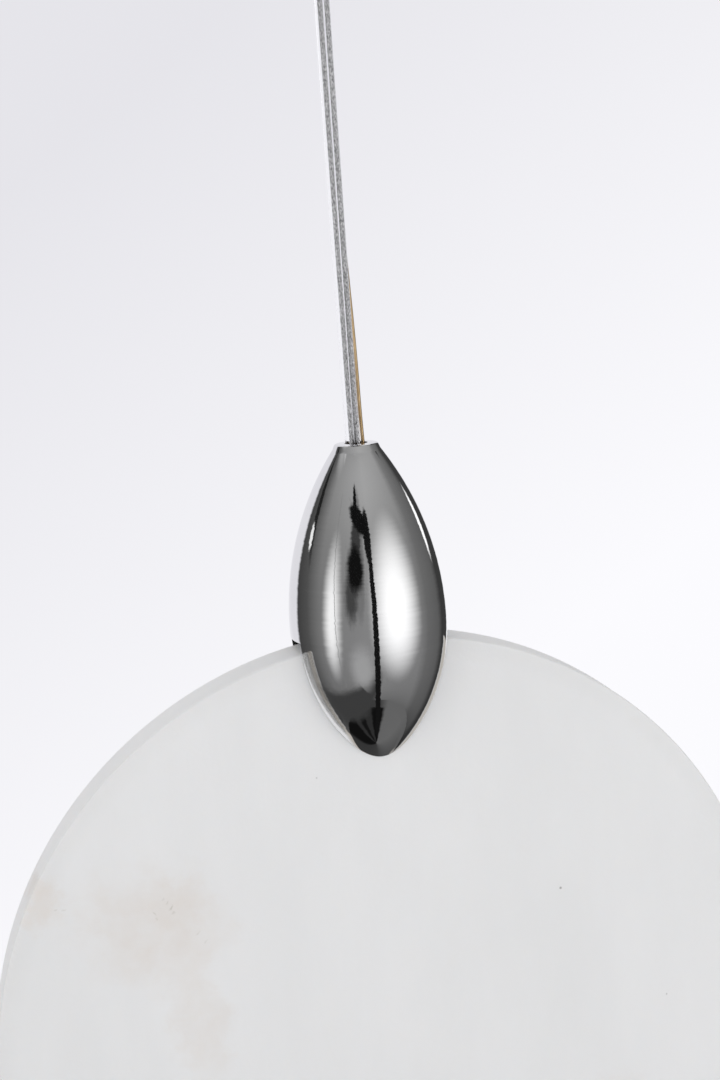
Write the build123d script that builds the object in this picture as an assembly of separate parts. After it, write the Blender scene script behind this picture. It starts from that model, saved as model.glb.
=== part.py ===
from build123d import *
from math import cos, pi, radians, sin, sqrt, tan
import os

# Pendant light: a round stone plate in a slotted olive-shaped body, hung on a clear cable and a wire.
# Millimetres. The origin is the centre of the ceiling face, +Z is up, and the plate lies in XZ.

# Canopy and bracket
canopy_radius = 60.0
canopy_depth = 34.0
canopy_wall = 1.5
canopy_edge_radius = 8.0
bracket_width = 18.0
bracket_thickness = 2.0
bracket_gap = 0.8
ear_drop = 16.0
ear_bend_radius = 3.0
ceiling_slot_spacing = 70.0
ceiling_slot_length = 12.0
ceiling_slot_width = 5.0
side_screw_radius = 2.0
side_screw_depth = 9.0
side_screw_spare = 2.0
side_screw_head_radius = 4.5
side_screw_head_length = 4.0
side_screw_head_rounding = 0.8
side_screw_grooves = 14
groove_radius = 0.35
stiffener_radius = 18.0
stiffener_thickness = 2.0
stiffener_rounding = 0.5

# Swivel
stem_radius = 5.0
stem_bore_radius = 3.6
stem_flange_thickness = 4.0
stem_spare = 3.0
stem_nut_width = 14.0
stem_nut_height = 4.0
stem_washer_radius = 9.0
stem_washer_thickness = 1.0
ball_radius = 8.0
ball_top_cut = 5.5
seat_wall = 1.8
seat_below_centre = 5.5
seat_above_centre = 0.5
cup_wall = 2.5
cup_lip = 2.0
cup_edge_radius = 3.0
space_above_ball = 9.0
swing_limit = 15.0

# Cord: the free stretch runs from the cup's mouth to the top of the body
free_drop = 152.0
cable_radius = 2.6
core_radius = 0.6
core_spread = 0.75
wire_radius = 0.55
pair_low_ratio = 1.08
pair_top_ratio = 1.32
pair_top_angle = 62.8
pair_top_shift = 0.35
ferrule_radius = 1.5
ferrule_length = 5.0

# Strain relief and wiring in the canopy
relief_radius = 6.0
relief_height = 8.0
relief_screw_radius = 1.5
jacket_spare = 1.0
lead_radius = 0.8
lead_spread = 0.95
output_lead_rise = 6.0
output_lead_reach = 6.0
lead_bend = 2.5
pad_under = 1.0
driver_length = 60.0
driver_width = 22.0
driver_height = 14.0
driver_wall = 1.5
driver_lid_thickness = 2.0
driver_place = 20.0
driver_post_radius = 2.6
driver_screw_radius = 1.2
driver_screw_head_radius = 2.2
driver_screw_head_height = 1.2
board_thickness = 1.6
board_height = 3.0
board_gap = 0.3
transformer_length = 14.0
transformer_width = 12.0
transformer_height = 7.0
capacitor_radius = 3.2
capacitor_length = 10.0
coil_radius = 4.0
coil_height = 6.0
terminal_length = 30.0
terminal_width = 16.0
terminal_height = 16.0
terminal_place = 22.0
terminal_pitch = 9.0
terminal_groove_width = 1.5
terminal_groove_depth = 4.0
terminal_hole_radius = 1.6
terminal_screw_radius = 1.5
lead_height = 9.5
lead_insert = 4.0
earth_screw_radius = 2.0
earth_screw_place = 18.0
earth_head_radius = 3.5
earth_head_height = 2.4
earth_tag_radius = 3.6
earth_tag_thickness = 0.8
earth_tongue_width = 3.0
earth_tongue_length = 9.0
earth_lead_offset = 5.5

# Slotted body: its outline is one arc above the widest place and one below it
top_flat_radius = 6.9
belly_radius = 24.3
belly_depth = 54.0
body_height = 102.0
top_edge_radius = 0.4
entry_gap = 0.225
top_wall = 1.2
chamber_radius = 6.2
chamber_depth = 22.0
lead_bore_radius = 4.0
slot_top = 57.1
anchor_radius = 4.4
anchor_length = 9.4
anchor_washer_thickness = 0.8
anchor_gap = 0.6
cable_tail = 2.0
led_lead_radius = 0.6
led_lead_spread = 1.0

# Stone plate and how it is held
disc_radius = 125.0
disc_thickness = 14.0
disc_edge_radius = 0.8
disc_gap = 1.5
pad_thickness = 0.4
pad_width = 24.0
pad_height = 22.0
pad_drop = 5.0
pad_corner_radius = 3.0
clamp_screw_radius = 2.0
clamp_screw_spacing = 19.0
clamp_screw_drop = 16.0
clamp_head_radius = 3.5
clamp_head_height = 2.6
clamp_head_sink = 0.6
clamp_socket_width = 2.5
clamp_socket_depth = 1.4
clamp_bite = 6.0
clamp_spare = 0.5
sleeve_wall = 1.1
sleeve_end_gap = 0.1

# Light source in the slot's ceiling
pocket_length = 34.0
pocket_width = 12.0
pocket_depth = 6.0
led_board_gap = 0.4
led_board_thickness = 1.5
led_count = 6
led_length = 2.8
led_width = 3.5
led_height = 0.7
led_screw_radius = 1.25
led_screw_inset = 2.8
led_screw_length = 6.0
led_head_radius = 2.2
led_head_height = 1.2
diffuser_thickness = 2.0

# Fits
turning_gap = 0.2
thread_gap = 0.05
loose_gap = 0.3
lead_gap = 2.0
over = 1.0

# Heights that follow from the sizes above, from the ceiling down
canopy_floor = -canopy_depth + canopy_wall
washer_low = canopy_floor + stiffener_thickness
nut_low = washer_low + stem_washer_thickness
nut_top = nut_low + stem_nut_height
stem_top = nut_top + stem_spare
relief_top = stem_top + relief_height
jacket_top = relief_top + jacket_spare
flange_low = -canopy_depth - stem_flange_thickness
ball_top = flange_low - space_above_ball
ball_centre = ball_top - ball_top_cut
seat_low = ball_centre - seat_below_centre
seat_high = ball_centre + seat_above_centre
cup_floor = seat_low - turning_gap
cup_low = cup_floor - cup_lip
body_top = cup_low - free_drop
anchor_washer_low = body_top - top_wall - anchor_washer_thickness
anchor_high = anchor_washer_low - anchor_gap
anchor_low = anchor_high - anchor_length
cable_low = anchor_low - cable_tail
slot_ceiling = body_top - slot_top
pocket_top = slot_ceiling + pocket_depth
disc_centre = slot_ceiling - disc_gap - disc_radius
clamp_height = slot_ceiling - clamp_screw_drop

# The cable and the wire stand side by side; higher up the wire passes behind the cable
pair_least = cable_radius + wire_radius
pair_low = pair_least * pair_low_ratio
pair_top = pair_least * pair_top_ratio
entry_half = (pair_least + pair_low) / 2
entry_radius = entry_half + entry_gap
ball_half = (pair_least + pair_top) / 2
ball_bore_radius = ball_half + pair_top_shift + thread_gap
cable_low_x = cable_radius - entry_half
cable_top_back = ball_half - cable_radius
cable_top_x = -cable_top_back * cos(radians(pair_top_angle)) - pair_top_shift
cable_top_y = -cable_top_back * sin(radians(pair_top_angle))
wire_low_x = cable_low_x + pair_low
wire_top_x = cable_top_x + pair_top * cos(radians(pair_top_angle))
wire_top_y = cable_top_y + pair_top * sin(radians(pair_top_angle))

# Radii that follow from what they hold
seat_radius = ball_radius + turning_gap + seat_wall
cup_bore_radius = seat_radius + turning_gap
cup_radius = cup_bore_radius + cup_wall
cup_mouth_radius = ball_bore_radius + (ball_centre - cup_low) * tan(radians(swing_limit)) + loose_gap
slot_half = disc_thickness / 2 + pad_thickness
sleeve_bore_radius = clamp_screw_radius + thread_gap
sleeve_radius = sleeve_bore_radius + sleeve_wall
ear_face = sqrt((canopy_radius - canopy_wall - bracket_gap) ** 2 - (bracket_width / 2) ** 2)

os.makedirs("parts", exist_ok=True)


def save(shape, node):
    export_step(shape, "parts/" + node + ".step")


def rod(radius, low, high, x=0.0, y=0.0):
    return Pos(x, y, low) * Cylinder(radius, high - low, align=(Align.CENTER, Align.CENTER, Align.MIN))


def ring(outer, inner, low, high):
    return rod(outer, low, high) - rod(inner, low - over, high + over)


def block(x_low, x_high, y_low, y_high, z_low, z_high):
    centre = Pos((x_low + x_high) / 2, (y_low + y_high) / 2, (z_low + z_high) / 2)
    return centre * Box(x_high - x_low, y_high - y_low, z_high - z_low)


def rod_along_x(radius, x_low, x_high, y, z):
    return Pos((x_low + x_high) / 2, y, z) * Rot(0, 90, 0) * Cylinder(radius, x_high - x_low)


def rod_along_y(radius, y_low, y_high, x, z):
    return Pos(x, (y_low + y_high) / 2, z) * Rot(90, 0, 0) * Cylinder(radius, y_high - y_low)


def rod_between(radius, start, end):
    axis = Vector(*end) - Vector(*start)
    return extrude(Plane(origin=start, z_dir=axis) * Circle(radius), amount=axis.length)


def bent_rod(radius, points, bend):
    path = FilletPolyline(*points, radius=bend)
    return sweep(Plane(origin=path @ 0, z_dir=path % 0) * Circle(radius), path=path)


# Ceiling bracket: a flat strap with two slots for the ceiling screws, and an ear bent down at each end
def mounting_bracket():
    half = bracket_width / 2
    outer = block(-ear_face, ear_face, -half, half, -ear_drop, 0)
    outer = fillet(outer.edges().filter_by(Axis.Y).group_by(Axis.Z)[-1], ear_bend_radius)
    inner_face = ear_face - bracket_thickness
    strap = outer - block(-inner_face, inner_face, -half, half, -ear_drop, -bracket_thickness)
    slot = SlotOverall(ceiling_slot_length, ceiling_slot_width)
    for side in (-1, 1):
        place = Pos(side * ceiling_slot_spacing / 2, 0, 0)
        strap -= extrude(place * slot, amount=bracket_thickness, both=True)
    strap -= rod_along_x(side_screw_radius + thread_gap, -canopy_radius, canopy_radius, 0, -side_screw_depth)
    strap -= rod(earth_screw_radius + thread_gap, -bracket_thickness, 0, earth_screw_place)
    return strap


def canopy():
    shell = rod(canopy_radius, -canopy_depth, 0)
    shell = fillet(shell.edges().group_by(Axis.Z)[0], canopy_edge_radius)
    hollow = rod(canopy_radius - canopy_wall, canopy_floor, 0)
    hollow = fillet(hollow.edges().group_by(Axis.Z)[0], canopy_edge_radius - canopy_wall)
    shell = shell - hollow - rod(stem_radius + thread_gap, -canopy_depth - over, canopy_floor + over)
    reach = canopy_radius + over
    return shell - rod_along_x(side_screw_radius + turning_gap, -reach, reach, 0, -side_screw_depth)


# Thumb screws that hold the canopy to the bracket's ears, with a grooved head
def canopy_screws():
    height = -side_screw_depth
    head_end = canopy_radius + side_screw_head_length
    head = rod_along_x(side_screw_head_radius, canopy_radius, head_end, 0, height)
    head = fillet(head.edges().group_by(Axis.X)[-1], side_screw_head_rounding)
    for step in range(side_screw_grooves):
        turn = 2 * pi * step / side_screw_grooves
        y = side_screw_head_radius * cos(turn)
        z = height + side_screw_head_radius * sin(turn)
        head -= rod_along_x(groove_radius, canopy_radius, head_end, y, z)
    tip = ear_face - bracket_thickness - side_screw_spare
    screw = head + rod_along_x(side_screw_radius, tip, canopy_radius, 0, height)
    return Compound([screw, Rot(0, 0, 180) * screw])


# Steel plate that spreads the load over the canopy's floor
def canopy_stiffener():
    plate = rod(stiffener_radius, canopy_floor, washer_low)
    plate = fillet(plate.edges().group_by(Axis.Z)[-1], stiffener_rounding)
    return plate - rod(stem_radius + thread_gap, canopy_floor - over, washer_low + over)


# Hollow threaded stem through the canopy's floor, with the flange that closes the swivel cup
def swivel_stem():
    flange = rod(cup_bore_radius - thread_gap, flange_low, -canopy_depth)
    stem = flange + rod(stem_radius, flange_low, stem_top)
    return stem - rod(stem_bore_radius, flange_low - over, stem_top + over)


def stem_washer():
    return ring(stem_washer_radius, stem_radius + thread_gap, washer_low, nut_low)


def stem_nut():
    hexagon = Pos(0, 0, nut_low) * RegularPolygon(stem_nut_width / 2, 6, major_radius=False)
    nut = extrude(hexagon, amount=stem_nut_height)
    return nut - rod(stem_radius + thread_gap, nut_low - over, nut_top + over)


def swivel_cup():
    cup = rod(cup_radius, cup_low, -canopy_depth)
    cup = fillet(cup.edges().group_by(Axis.Z)[0], cup_edge_radius)
    cup -= rod(cup_bore_radius, cup_floor, -canopy_depth + over)
    return cup - rod(cup_mouth_radius, cup_low - over, cup_floor + over)


# Ring that turns in the cup and carries the ball
def seat_ring():
    return rod(seat_radius, seat_low, seat_high) - Pos(0, 0, ball_centre) * Sphere(ball_radius + turning_gap)


def swivel_ball():
    ball = Pos(0, 0, ball_centre) * Sphere(ball_radius)
    reach = ball_radius + over
    ball -= block(-reach, reach, -reach, reach, ball_top, ball_centre + reach)
    return ball - rod(ball_bore_radius, ball_centre - reach, ball_top + over)


def share_up(height):
    return (height - body_top) / (ball_top - body_top)


def cable_point(height, side=0):
    x = cable_low_x + share_up(height) * (cable_top_x - cable_low_x)
    return x + side * core_spread, share_up(height) * cable_top_y, height


def wire_point(height):
    return wire_low_x + share_up(height) * (wire_top_x - wire_low_x), share_up(height) * wire_top_y, height


def power_cable():
    jacket = rod_between(cable_radius, cable_point(cable_low), cable_point(ball_top))
    for side in (-1, 1):
        low = cable_point(cable_low - over, side)
        jacket -= rod_between(core_radius, low, cable_point(ball_top + over, side))
    return jacket


def cable_cores():
    cores = []
    for side in (-1, 1):
        cores.append(rod_between(core_radius, cable_point(cable_low, side), cable_point(ball_top, side)))
    return Compound(cores)


# The wire runs from the anchor in the body to the ferrule that rests on the ball
def suspension_wire():
    return rod_between(wire_radius, wire_point(anchor_low), wire_point(ball_top + ferrule_length))


def wire_ferrule():
    low = ball_top + thread_gap
    high = ball_top + ferrule_length
    hole = rod_between(wire_radius + thread_gap, wire_point(low - over), wire_point(high + over))
    return rod_between(ferrule_radius, wire_point(low), wire_point(high)) - hole


def strain_relief():
    sleeve = ring(relief_radius, cable_radius + thread_gap, stem_top, relief_top)
    height = (stem_top + relief_top) / 2
    return sleeve - rod_along_y(relief_screw_radius + thread_gap, -relief_radius - over, 0, 0, height)


def relief_screw():
    height = (stem_top + relief_top) / 2
    return rod_along_y(relief_screw_radius, -relief_radius, -cable_radius - thread_gap, 0, height)


# Fixed stretch of the cable inside the stem; the stretch that bends above the ball is left out
def inner_cable():
    return rod(cable_radius, flange_low, jacket_top)


driver_low = canopy_floor + pad_under
driver_top = driver_low + driver_height
driver_far = driver_place + driver_width
lid_top = driver_top + driver_lid_thickness
post_x = driver_length / 2 - driver_wall - driver_post_radius / 2
driver_middle = driver_place + driver_width / 2


def output_leads():
    leads = []
    top = jacket_top + output_lead_rise
    y = driver_place + output_lead_reach
    for side in (-1, 1):
        x = side * lead_spread
        points = [(x, 0, jacket_top), (x, 0, top), (x, y, top), (x, y, lid_top)]
        leads.append(bent_rod(lead_radius, points, lead_bend))
    return Compound(leads)


def foam_pads():
    half = driver_length / 2
    under_driver = block(-half, half, driver_place, driver_far, canopy_floor, driver_low)
    half = terminal_length / 2
    far = -terminal_place - terminal_width
    return Compound([under_driver, block(-half, half, far, -terminal_place, canopy_floor, driver_low)])


# Driver box: an open case with a post at each end for the lid's screws, joined into the end wall
def driver_case():
    half = driver_length / 2
    case = block(-half, half, driver_place, driver_far, driver_low, driver_top)
    inside = half - driver_wall
    near = driver_place + driver_wall
    case -= block(-inside, inside, near, driver_far - driver_wall, driver_low + driver_wall, driver_top + over)
    for side in (-1, 1):
        case += rod(driver_post_radius, driver_low, driver_top, side * post_x, driver_middle)
        case -= rod(driver_screw_radius, driver_low + driver_wall, driver_top + over, side * post_x, driver_middle)
    for side in (-1, 1):
        case -= rod_along_y(lead_radius + thread_gap, driver_place - over, near + over, side * terminal_pitch,
                            canopy_floor + lead_height)
    return case


def driver_lid():
    half = driver_length / 2
    lid = block(-half, half, driver_place, driver_far, driver_top, lid_top)
    for side in (-1, 1):
        lid -= rod(driver_screw_radius + thread_gap, driver_top - over, lid_top + over, side * post_x, driver_middle)
    return lid


def driver_screws():
    screws = []
    low = driver_low + driver_wall + over
    for side in (-1, 1):
        x = side * post_x
        head = rod(driver_screw_head_radius, lid_top, lid_top + driver_screw_head_height, x, driver_middle)
        screws.append(head + rod(driver_screw_radius, low, lid_top, x, driver_middle))
    return Compound(screws)


board_low = driver_low + driver_wall + board_height
board_top = board_low + board_thickness


def driver_board():
    half = post_x - driver_post_radius - board_gap
    near = driver_place + driver_wall
    far = driver_far - driver_wall
    return block(-half, half, near, far, board_low, board_top)


# Transformer, capacitor and coil on the driver's board
def driver_parts():
    half_length = transformer_length / 2
    half_width = transformer_width / 2
    near = driver_middle - half_width
    transformer = block(-half_length, half_length, near, near + transformer_width, board_top,
                        board_top + transformer_height)
    centre = half_length + capacitor_length / 2 + loose_gap
    height = board_top + capacitor_radius
    ends = (centre - capacitor_length / 2, centre + capacitor_length / 2)
    capacitor = rod_along_x(capacitor_radius, ends[0], ends[1], driver_middle, height)
    coil = rod(coil_radius, board_top, board_top + coil_height, -half_length - coil_radius - loose_gap, driver_middle)
    return Compound([transformer, capacitor, coil])


def terminal_cells():
    return [step * terminal_pitch for step in (-1, 0, 1)]


# Three-pole screw terminal for the supply, with a groove between the poles
def terminal_block():
    half = terminal_length / 2
    far = -terminal_place - terminal_width
    top = driver_low + terminal_height
    body = block(-half, half, far, -terminal_place, driver_low, top)
    for side in (-1, 1):
        x = side * terminal_pitch / 2
        wall = terminal_groove_width / 2
        body -= block(x - wall, x + wall, far, -terminal_place, top - terminal_groove_depth, top)
    height = canopy_floor + lead_height
    for x in terminal_cells():
        body -= rod_along_y(terminal_hole_radius, far, -terminal_place, x, height)
        for share in (0.25, 0.75):
            y = far + share * terminal_width
            body -= rod(terminal_screw_radius + thread_gap, height, top + over, x, y)
    return body


def terminal_screws():
    screws = []
    far = -terminal_place - terminal_width
    top = driver_low + terminal_height
    low = canopy_floor + lead_height + lead_radius + thread_gap
    for x in terminal_cells():
        for share in (0.25, 0.75):
            y = far + share * terminal_width
            screw = rod(terminal_screw_radius, low, top - over, x, y)
            notch = block(x - terminal_screw_radius, x + terminal_screw_radius, y - groove_radius,
                          y + groove_radius, top - 2 * over, top)
            screws.append(screw - notch)
    return Compound(screws)


def input_leads():
    leads = []
    start = -terminal_place - lead_insert
    for side in (-1, 1):
        x = side * terminal_pitch
        leads.append(rod_along_y(lead_radius, start, driver_place + driver_wall, x, canopy_floor + lead_height))
    return Compound(leads)


tag_low = -bracket_thickness - earth_tag_thickness


def earth_tag():
    tag = rod(earth_tag_radius, tag_low, -bracket_thickness, earth_screw_place)
    half = earth_tongue_width / 2
    x = earth_screw_place
    tag += block(x - half, x + half, -earth_tongue_length, 0, tag_low, -bracket_thickness)
    return tag - rod(earth_screw_radius + thread_gap, tag_low - over, 0, x)


def earth_screw():
    head = rod(earth_head_radius, tag_low - earth_head_height, tag_low, earth_screw_place)
    return head + rod(earth_screw_radius, tag_low, 0, earth_screw_place)


def earth_lead():
    low = canopy_floor + lead_height
    high = tag_low - lead_radius
    turn_y = -bracket_width / 2 - earth_lead_offset
    start = (0, -terminal_place - lead_insert, low)
    end = (earth_screw_place, -earth_head_radius - over, high)
    points = [start, (0, turn_y, low), (earth_screw_place, turn_y, high), end]
    return bent_rod(lead_radius, points, lead_bend)


# Outline of the slotted body: radius of the arc that gains this much over this height, upright at its end
def arc_radius(gain, height):
    return (gain ** 2 + height ** 2) / (2 * gain)


upper_arc = arc_radius(belly_radius - top_flat_radius, belly_depth)
lower_arc = arc_radius(belly_radius, body_height - belly_depth)


def outline_radius(depth):
    arc = upper_arc if depth < belly_depth else lower_arc
    return belly_radius - arc + sqrt(arc ** 2 - (depth - belly_depth) ** 2)


def clamp_seat():
    widest = outline_radius(slot_top + clamp_screw_drop + clamp_head_radius)
    x = clamp_screw_spacing / 2 + clamp_head_radius
    return sqrt(widest ** 2 - x ** 2) - clamp_head_height - clamp_head_sink


def fitting_body():
    upper_middle = belly_depth / 2
    lower_middle = (belly_depth + body_height) / 2
    outline = Line((0, 0), (top_flat_radius, 0))
    outline += ThreePointArc((top_flat_radius, 0), (outline_radius(upper_middle), -upper_middle),
                             (belly_radius, -belly_depth))
    outline += ThreePointArc((belly_radius, -belly_depth), (outline_radius(lower_middle), -lower_middle),
                             (0, -body_height))
    outline += Line((0, -body_height), (0, 0))
    body = revolve(Plane.XZ * make_face(outline), Axis.Z)
    body = fillet(body.edges().group_by(Axis.Z)[-1], top_edge_radius)
    body = Pos(0, 0, body_top) * body
    body -= rod(entry_radius, body_top - top_wall - over, body_top + over)
    body -= rod(chamber_radius, body_top - chamber_depth, body_top - top_wall)
    body -= rod(lead_bore_radius, slot_ceiling, body_top - chamber_depth + over)
    low = body_top - body_height - over
    half = pocket_length / 2
    body -= block(-half, half, -pocket_width / 2, pocket_width / 2, slot_ceiling - over, pocket_top)
    reach = belly_radius + over
    body -= block(-reach, reach, -slot_half, slot_half, low, slot_ceiling)
    tip = -slot_half - clamp_bite - clamp_spare
    for side in (-1, 1):
        x = side * clamp_screw_spacing / 2
        body -= rod_along_y(clamp_screw_radius + thread_gap, tip, belly_radius, x, clamp_height)
        body -= rod_along_y(clamp_head_radius + turning_gap, clamp_seat(), belly_radius, x, clamp_height)
        screw_x = side * (pocket_length / 2 - led_board_gap - led_screw_inset)
        body -= rod(led_screw_radius + thread_gap, pocket_top, pocket_top + led_screw_length, screw_x)
    return body


def cord_anchor():
    anchor = rod(anchor_radius, anchor_low, anchor_high)
    low = anchor_low - over
    high = anchor_high + over
    anchor -= rod_between(cable_radius + thread_gap, cable_point(low), cable_point(high))
    return anchor - rod_between(wire_radius + thread_gap, wire_point(low), wire_point(high))


def anchor_washer():
    inner = entry_radius + turning_gap
    return ring(chamber_radius - turning_gap, inner, anchor_washer_low, body_top - top_wall)


led_half = pocket_length / 2 - led_board_gap
led_board_low = pocket_top - led_board_thickness


def led_board():
    width = pocket_width / 2 - led_board_gap
    board = block(-led_half, led_half, -width, width, led_board_low, pocket_top)
    for side in (-1, 1):
        x = side * (led_half - led_screw_inset)
        board -= rod(led_screw_radius + thread_gap, led_board_low - over, pocket_top + over, x)
    return board


def led_chips():
    row = 2 * led_half - 4 * led_screw_inset
    chips = []
    for step in range(led_count):
        x = row * ((step + 0.5) / led_count - 0.5)
        low = led_board_low - led_height
        chips.append(block(x - led_length / 2, x + led_length / 2, -led_width / 2, led_width / 2, low, led_board_low))
    return Compound(chips)


def led_screws():
    screws = []
    for side in (-1, 1):
        x = side * (led_half - led_screw_inset)
        head = rod(led_head_radius, led_board_low - led_head_height, led_board_low, x)
        screws.append(head + rod(led_screw_radius, led_board_low, led_board_low + led_screw_length, x))
    return Compound(screws)


def led_diffuser():
    half = pocket_length / 2 - turning_gap
    width = pocket_width / 2
    return block(-half, half, -width, width, slot_ceiling, slot_ceiling + diffuser_thickness)


def led_leads():
    leads = []
    for side in (-1, 1):
        leads.append(rod(led_lead_radius, pocket_top, cable_low - lead_gap, side * led_lead_spread))
    return Compound(leads)


# Round stone plate on edge, with two holes for the screws' sleeves
def stone_disc():
    disc = rod_along_y(disc_radius, -disc_thickness / 2, disc_thickness / 2, 0, disc_centre)
    disc = fillet(disc.edges(), disc_edge_radius)
    for side in (-1, 1):
        x = side * clamp_screw_spacing / 2
        disc -= rod_along_y(sleeve_radius + thread_gap, -disc_thickness, disc_thickness, x, clamp_height)
    return disc


def screw_sleeves():
    half = disc_thickness / 2 - sleeve_end_gap
    sleeves = []
    for side in (-1, 1):
        x = side * clamp_screw_spacing / 2
        sleeve = rod_along_y(sleeve_radius, -half, half, x, clamp_height)
        sleeves.append(sleeve - rod_along_y(sleeve_bore_radius, -half - over, half + over, x, clamp_height))
    return Compound(sleeves)


def slot_pads():
    half = pad_width / 2
    top = slot_ceiling - pad_drop
    pads = []
    for side in (-1, 1):
        faces = sorted((side * slot_half, side * disc_thickness / 2))
        pad = block(-half, half, faces[0], faces[1], top - pad_height, top)
        pad = fillet(pad.edges().filter_by(Axis.Y), pad_corner_radius)
        for place in (-1, 1):
            x = place * clamp_screw_spacing / 2
            pad -= rod_along_y(sleeve_radius, -slot_half - over, slot_half + over, x, clamp_height)
        pads.append(pad)
    return Compound(pads)


# Screws from the back: countersunk socket heads in the rear cheek, tips in the front cheek
def clamp_screws():
    screws = []
    seat = clamp_seat()
    head_end = seat + clamp_head_height
    for side in (-1, 1):
        x = side * clamp_screw_spacing / 2
        head = rod_along_y(clamp_head_radius, seat, head_end, x, clamp_height)
        hexagon = Plane(origin=(x, head_end, clamp_height), z_dir=(0, -1, 0)) * RegularPolygon(
            clamp_socket_width / 2, 6, major_radius=False)
        head -= extrude(hexagon, amount=clamp_socket_depth)
        shank = rod_along_y(clamp_screw_radius, -slot_half - clamp_bite, seat, x, clamp_height)
        screws.append(head + shank)
    return Compound(screws)


save(mounting_bracket(), "mounting_bracket")
save(canopy(), "canopy")
save(canopy_screws(), "canopy_screws")
save(canopy_stiffener(), "canopy_stiffener")
save(swivel_stem(), "swivel_stem")
save(stem_washer(), "stem_washer")
save(stem_nut(), "stem_nut")
save(swivel_cup(), "swivel_cup")
save(seat_ring(), "seat_ring")
save(swivel_ball(), "swivel_ball")
save(wire_ferrule(), "wire_ferrule")
save(strain_relief(), "strain_relief")
save(relief_screw(), "relief_screw")
save(inner_cable(), "inner_cable")
save(output_leads(), "output_leads")
save(foam_pads(), "foam_pads")
save(driver_case(), "driver_case")
save(driver_lid(), "driver_lid")
save(driver_screws(), "driver_screws")
save(driver_board(), "driver_board")
save(driver_parts(), "driver_parts")
save(terminal_block(), "terminal_block")
save(terminal_screws(), "terminal_screws")
save(input_leads(), "input_leads")
save(earth_tag(), "earth_tag")
save(earth_screw(), "earth_screw")
save(earth_lead(), "earth_lead")
save(power_cable(), "power_cable")
save(cable_cores(), "cable_cores")
save(suspension_wire(), "suspension_wire")
save(cord_anchor(), "cord_anchor")
save(anchor_washer(), "anchor_washer")
save(fitting_body(), "fitting_body")
save(led_board(), "led_board")
save(led_chips(), "led_chips")
save(led_screws(), "led_screws")
save(led_diffuser(), "led_diffuser")
save(led_leads(), "led_leads")
save(slot_pads(), "slot_pads")
save(clamp_screws(), "clamp_screws")
save(screw_sleeves(), "screw_sleeves")
save(stone_disc(), "stone_disc")
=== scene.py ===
import math
import bpy
from mathutils import Matrix, Vector


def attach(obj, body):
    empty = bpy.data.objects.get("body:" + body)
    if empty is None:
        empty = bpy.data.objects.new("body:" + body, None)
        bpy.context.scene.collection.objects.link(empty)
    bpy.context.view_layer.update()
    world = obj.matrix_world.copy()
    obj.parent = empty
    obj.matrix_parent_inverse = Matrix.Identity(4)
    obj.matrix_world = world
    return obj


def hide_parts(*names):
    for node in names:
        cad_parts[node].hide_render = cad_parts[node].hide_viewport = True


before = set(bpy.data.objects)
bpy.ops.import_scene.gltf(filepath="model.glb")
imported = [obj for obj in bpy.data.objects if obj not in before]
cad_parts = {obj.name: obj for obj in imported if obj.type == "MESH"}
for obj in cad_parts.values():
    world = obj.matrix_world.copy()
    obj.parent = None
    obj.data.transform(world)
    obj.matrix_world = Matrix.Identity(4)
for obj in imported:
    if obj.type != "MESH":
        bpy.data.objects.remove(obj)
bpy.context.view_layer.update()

bpy.ops.object.select_all(action="DESELECT")


# Camera. It stands in front of the stone plate, a little to the left and above the plate's middle,
# and it is turned slightly about its own axis, so the cord leans to the left in the picture.
view_bearing = math.radians(12.2)
view_pitch = math.radians(10.2)
view_roll = math.radians(-3.9)
view_point = Vector((-0.1152, -0.5290, -0.1436))
ahead = Vector((math.sin(view_bearing) * math.cos(view_pitch),
                math.cos(view_bearing) * math.cos(view_pitch), -math.sin(view_pitch)))
level_right = Vector((math.cos(view_bearing), -math.sin(view_bearing), 0))
level_up = level_right.cross(ahead)
right = math.cos(view_roll) * level_right + math.sin(view_roll) * level_up
up = math.cos(view_roll) * level_up - math.sin(view_roll) * level_right
lens = bpy.data.cameras.new("camera")
lens.sensor_fit = "VERTICAL"
lens.sensor_height = 36
lens.lens = 60
camera = bpy.data.objects.new("camera", lens)
bpy.context.collection.objects.link(camera)
camera.matrix_world = Matrix.Translation(view_point) @ Matrix((right, up, -ahead)).transposed().to_4x4()
bpy.context.scene.camera = camera


# Power cable: a round jacket of clear soft plastic that the two silver conductors run in.
# It is pulled straight between the ball in the ceiling swivel and the anchor inside the body.
cable_radius = 0.0023
cable_route = [(-0.001450, -0.000937, -0.0470), (-0.001580, -0.000800, -0.0800),
               (-0.001120, -0.000098, -0.1950), (-0.000900, 0.000079, -0.2262)]


def laid_cord(name, routes, radius, sides):
    curve = bpy.data.curves.new(name, "CURVE")
    curve.dimensions = "3D"
    for route in routes:
        line = curve.splines.new("NURBS")
        line.points.add(len(route) - 1)
        for point, place in zip(line.points, route):
            point.co = (*place, 1)
        line.order_u = 3
        line.use_endpoint_u = True
        line.resolution_u = 12
        line.use_smooth = True
    curve.bevel_depth = radius
    curve.bevel_resolution = sides
    curve.use_fill_caps = radius > 0
    cord = bpy.data.objects.new(name, curve)
    bpy.context.collection.objects.link(cord)
    return cord


def add_node(material, kind, sockets=None, **settings):
    node = material.node_tree.nodes.new(kind)
    for name, value in settings.items():
        setattr(node, name, value)
    for name, value in (sockets or {}).items():
        node.inputs[name].default_value = value
    return node


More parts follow.
